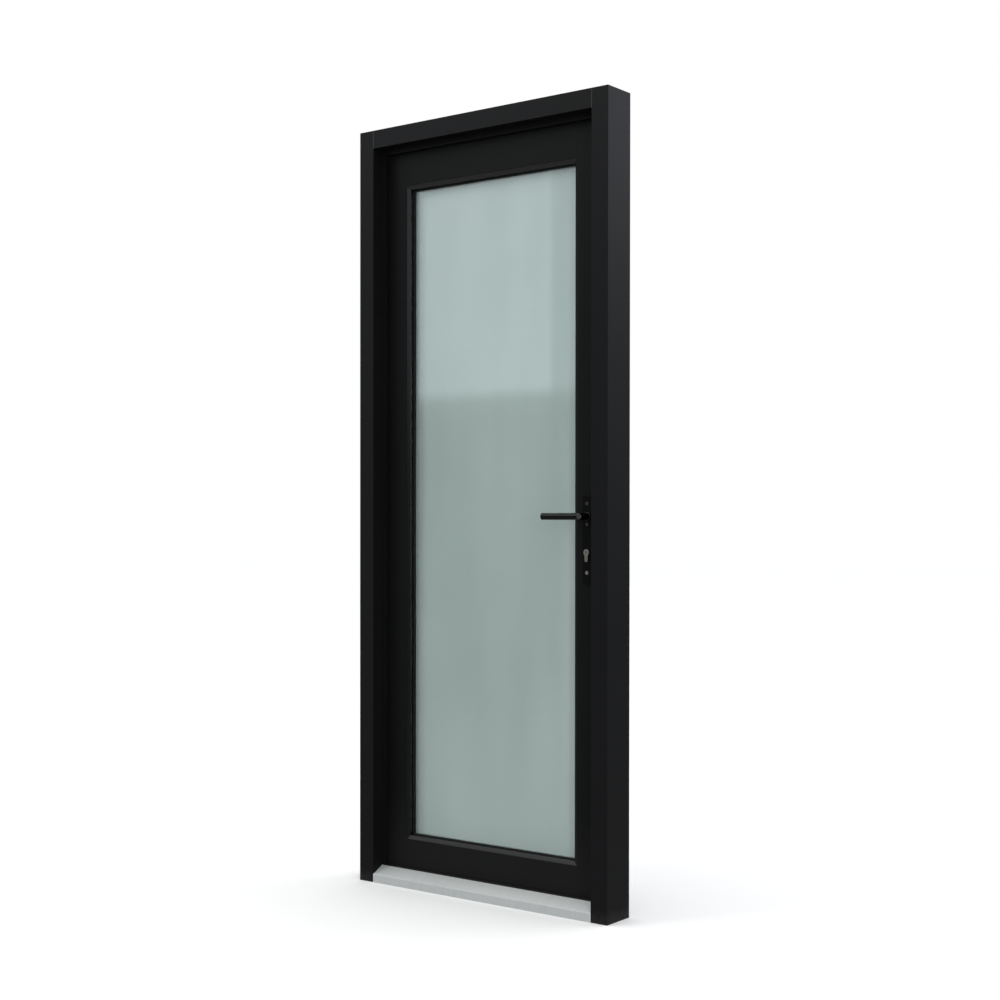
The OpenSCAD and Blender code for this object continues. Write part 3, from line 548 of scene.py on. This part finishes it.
def seal_joints():
    """Sealant where the sill butts against the jambs, and a thin grey bead where the head does, its
    grey a painted highlight along the jamb's edge.
    """
    low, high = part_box("head")
    front = low[1]
    sill_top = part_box("sill")[1][2]
    end_gap = 0.001  # the sealant stops short of the head's top and bottom edge
    sill_inset = 0.0011  # the sealant beside the sill lies on the sill's side of the joint
    # the grey at the head joints is a painted highlight along the jamb's edge, lighter than the
    # coat
    grey = sealant("head_seam_painted_highlight", (0.034, 0.034, 0.034), (0.066, 0.066, 0.064))
    pale = sealant("pale_sealant", (0.66, 0.68, 0.67), (0.80, 0.82, 0.81))
    upright = [(front, high[2] - JAMB_FACE + end_gap, -1, 0), (front, high[2] - end_gap, -1, 0)]
    slope = math.atan2(sill_top - SILL_NOSE, STOP_Y - front)
    up = (-math.sin(slope), math.cos(slope))
    corner = (-math.sin(slope / 2 + math.pi / 4), math.cos(slope / 2 + math.pi / 4))
    over_sill = [(front, 0.0, -1, 0), (front, SILL_NOSE, *corner), (STOP_Y, sill_top, *up)]
    for side, name in ((-1, "hinge"), (1, "lock")):
        x = side * high[0]
        sealant_bead(name + "_head_joint", grey, x, upright,
                     half=0.00055, proud=0.00006)
        sealant_bead(name + "_sill_joint", pale, x - side * sill_inset, over_sill,
                     half=0.0010, proud=0.00025)


# ---------------------------------------------------------------- latch spring
def shorten_spring():
    """A copy of the latch's spring, with its own mesh, stands for the CAD one and moves with the
    leaf.
    """
    held = nodes["latch_spring"]
    spring = link(bpy.data.objects.new("latch_coil", held.data.copy()))
    spring.matrix_world = held.matrix_world.copy()
    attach(spring, "leaf")
    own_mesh(spring)
    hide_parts("latch_spring")


# ---------------------------------------------------------------- stage and light
FLOOR_SIZE = 60


def make_floor():
    """A wide pale floor that only the camera sees, so it neither lights nor darkens the door."""
    bpy.ops.mesh.primitive_plane_add(size=FLOOR_SIZE)
    floor = bpy.context.object
    floor.name = "floor"
    floor.visible_glossy = False
    floor.visible_diffuse = False
    f = Finish("pale_floor")
    drift = f.noise(0.8, detail=3)
    floor.data.materials.append(
        f.done(f.surface(Base_Color=f.tint(drift, (0.980, 0.978, 0.976), (0.990, 0.988, 0.986)),
                         Roughness=0.8, Specular_IOR_Level=0.2)))


BACKDROP = (1.0, 1.0, 1.0, 1)
# How steeply the light's direction rises against a wall parallel with the door, and its colour
SKY = [
    (-1.50, (0.50, 0.50, 0.50)),
    (-0.50, (0.52, 0.52, 0.52)),
    (-0.28, (0.42, 0.42, 0.42)),
    (-0.05, (0.16, 0.16, 0.165)),
    (0.093, (0.17, 0.175, 0.175)),
    (0.101, (1.20, 1.36, 1.43)),
    (0.270, (1.25, 1.38, 1.44)),
    (0.500, (0.80, 0.81, 0.83)),
    (1.500, (1.50, 1.50, 1.50)),
]
STEEPEST = 1.5
LEAST_DEPTH = 0.25  # keeps the rise finite beside the door
PILLAR_EDGE = 0.722  # sideways slope at which a darker upright begins beside the bright wall
PILLAR_BLUR = 0.004  # the upright's edge is this soft
PILLAR_SHADE = 0.68
PILLAR_RIM = 1.12  # the bright wall is a little brighter right beside the upright
RIM_WIDTH = 0.012


def make_world():
    """A room of light: a pale wall above a crisp dark horizon, and a bright ceiling.

    The camera itself sees plain white.
    """
    world = bpy.data.worlds.new("studio")
    bpy.context.scene.world = world
    world.use_nodes = True
    tree = world.node_tree
    tree.nodes.clear()
    direction = add(tree, "ShaderNodeTexCoord").outputs["Generated"]
    way = add(tree, "ShaderNodeSeparateXYZ", {0: direction}).outputs
    depth = math_node(tree, "MAXIMUM", math_node(tree, "ABSOLUTE", way["Y"], 0.0), LEAST_DEPTH)
    rise = math_node(tree, "DIVIDE", way["Z"], depth)
    share = add(tree, "ShaderNodeMapRange",
                {"Value": rise, "From Min": -STEEPEST, "From Max": STEEPEST}).outputs[0]
    sky = ramp_of(tree, share, [((at / STEEPEST + 1) / 2, colour) for at, colour in SKY])
    aside = math_node(tree, "DIVIDE", way["X"], way["Y"])
    shade = ramp_of(tree, aside, [
        (0.0, (PILLAR_SHADE,) * 3), (PILLAR_EDGE - PILLAR_BLUR, (PILLAR_SHADE,) * 3),
        (PILLAR_EDGE, (PILLAR_RIM,) * 3), (PILLAR_EDGE + RIM_WIDTH, (1.0,) * 3)])
    shaded = add(tree, "ShaderNodeMix", {"Factor": 1.0, "A": sky, "B": shade},
                 data_type="RGBA", blend_type="MULTIPLY").outputs["Result"]
    room = add(tree, "ShaderNodeBackground", {"Color": shaded, "Strength": 1.0})
    plain = add(tree, "ShaderNodeBackground", {"Color": BACKDROP, "Strength": 1.0})
    seen = add(tree, "ShaderNodeLightPath").outputs["Is Camera Ray"]
    mixed = add(tree, "ShaderNodeMixShader", {0: seen, 1: room.outputs[0], 2: plain.outputs[0]})
    add(tree, "ShaderNodeOutputWorld", {"Surface": mixed.outputs[0]})


def softbox(name, at, aim, width, height, radiance, colour=(1, 1, 1)):
    """A soft rectangular lamp that shines from one point towards another."""
    lamp = bpy.data.lights.new(name, "AREA")
    lamp.shape = "RECTANGLE"
    lamp.size, lamp.size_y = width, height
    lamp.energy = radiance * math.pi * width * height
    lamp.color = colour
    obj = link(bpy.data.objects.new(name, lamp))
    obj.location = at
    obj.rotation_euler = (Vector(aim) - Vector(at)).to_track_quat("-Z", "Y").to_euler()
    obj.visible_camera = False


def make_lamps():
    """One lamp above the viewer's left, a strip on the right, and one behind on the right."""
    softbox("overhead_left", (-3.1, -4.1, 4.7), (0, 0, 1.2), 2.4, 1.8, 4.6)
    softbox("right_strip", (4.5, -3.3, 1.5), (0, 0, 1.1), 0.9, 2.2, 8.0)
    softbox("back_right", (3.5, 5.0, 3.9), (0, 0, 1.2), 2.6, 2.0, 3.2, (0.90, 0.90, 1.0))


# ---------------------------------------------------------------- build
bpy.context.scene.view_settings.view_transform = "Standard"
make_camera()
make_world()
make_lamps()
make_floor()
dress_nodes()
cleaning = clean_faces()
shape_edges(cleaning)
cut_all_recesses(cleaning)
seal_joints()
shorten_spring()
